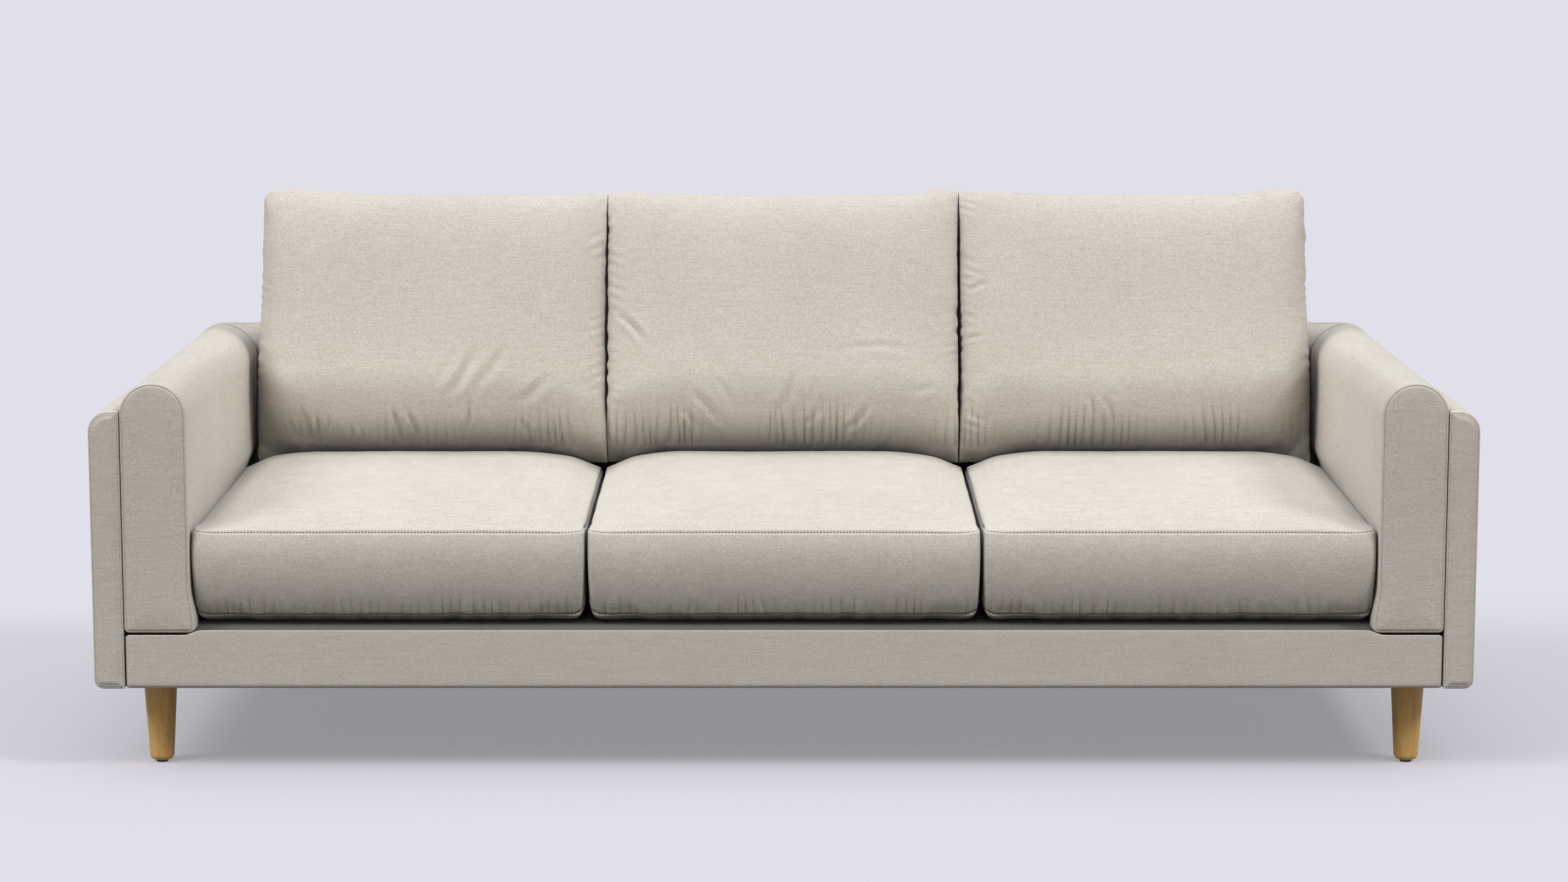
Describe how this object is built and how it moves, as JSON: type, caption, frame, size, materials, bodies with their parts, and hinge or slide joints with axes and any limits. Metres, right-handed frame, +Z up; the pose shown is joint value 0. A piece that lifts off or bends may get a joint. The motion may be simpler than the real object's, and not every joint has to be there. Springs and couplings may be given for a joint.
{
  "type": "three-seat sofa with wooden legs",
  "caption": "Upholstered sofa with slab-and-roll arms, loose seat cushions, loose leaning back cushions and tapered round wooden legs.",
  "frame": {"origin": "on the floor below the middle of the sofa's box", "axes": "+X along the width, to the right as seen from the front; +Y from the front to the rear; +Z up"},
  "size_m": [2.24, 0.9, 0.895],
  "materials": {
    "cover_fabric": "woven melange upholstery, matt",
    "foam": "open-cell foam with fibre wrap",
    "dust_cloth": "black non-woven dust cloth",
    "webbing": "elastic woven webbing",
    "felt": "pressed felt",
    "leg_wood": "clear satin lacquer over light hardwood",
    "timber": "planed softwood",
    "plywood": "sanded plywood",
    "steel": "zinc plated",
    "spring_steel": "black phosphated wire"
  },
  "bodies": {
    "sofa_frame": {"arm_bolts": "steel", "arm_cover_left": "cover_fabric", "arm_cover_right": "cover_fabric", "arm_foam_left": "foam", "arm_foam_right": "foam", "arm_nuts": "steel", "arm_panel_left": "plywood", "arm_panel_right": "plywood", "back_bolts": "steel", "back_bottom_rail": "timber", "back_cover": "cover_fabric", "back_foam": "foam", "back_panel": "cover_fabric", "back_top_rail": "timber", "back_uprights": "plywood", "back_webbing": "webbing", "base_back_rail": "timber", "base_front_rail": "timber", "corner_blocks": "timber", "cross_rail_left": "timber", "cross_rail_right": "timber", "dust_cover": "dust_cloth", "leg_back_left": "leg_wood", "leg_back_right": "leg_wood", "leg_bolts": "steel", "leg_front_left": "leg_wood", "leg_front_right": "leg_wood", "leg_glides": "felt", "leg_nuts": "steel", "plinth_cover_back": "cover_fabric", "plinth_cover_front": "cover_fabric", "seat_deck": "cover_fabric", "slab_board_left": "plywood", "slab_board_right": "plywood", "slab_cover_left": "cover_fabric", "slab_cover_right": "cover_fabric", "spring_clips": "spring_steel", "spring_rail": "timber", "zigzag_springs": "spring_steel"},
    "seat_cushion_left": {"seat_cushion_cover_left": "cover_fabric", "seat_cushion_core_left": "foam"},
    "seat_cushion_centre": {"seat_cushion_cover_centre": "cover_fabric", "seat_cushion_core_centre": "foam"},
    "seat_cushion_right": {"seat_cushion_cover_right": "cover_fabric", "seat_cushion_core_right": "foam"},
    "back_cushion_left": {"back_cushion_cover_left": "cover_fabric", "back_cushion_core_left": "foam"},
    "back_cushion_centre": {"back_cushion_cover_centre": "cover_fabric", "back_cushion_core_centre": "foam"},
    "back_cushion_right": {"back_cushion_cover_right": "cover_fabric", "back_cushion_core_right": "foam"}
  },
  "joints": [
    {"name": "seat_cushion_left_slide", "type": "slide", "parent": "sofa_frame", "child": "seat_cushion_left", "axis": [0, -1, 0], "range_m": [0, 0.72]},
    {"name": "seat_cushion_centre_slide", "type": "slide", "parent": "sofa_frame", "child": "seat_cushion_centre", "axis": [0, -1, 0], "range_m": [0, 0.72]},
    {"name": "seat_cushion_right_slide", "type": "slide", "parent": "sofa_frame", "child": "seat_cushion_right", "axis": [0, -1, 0], "range_m": [0, 0.72]},
    {"name": "back_cushion_left_lift", "type": "slide", "parent": "sofa_frame", "child": "back_cushion_left", "axis": [0, 0, 1], "range_m": [0, 0.3]},
    {"name": "back_cushion_centre_lift", "type": "slide", "parent": "sofa_frame", "child": "back_cushion_centre", "axis": [0, 0, 1], "range_m": [0, 0.3]},
    {"name": "back_cushion_right_lift", "type": "slide", "parent": "sofa_frame", "child": "back_cushion_right", "axis": [0, 0, 1], "range_m": [0, 0.3]}
  ]
}
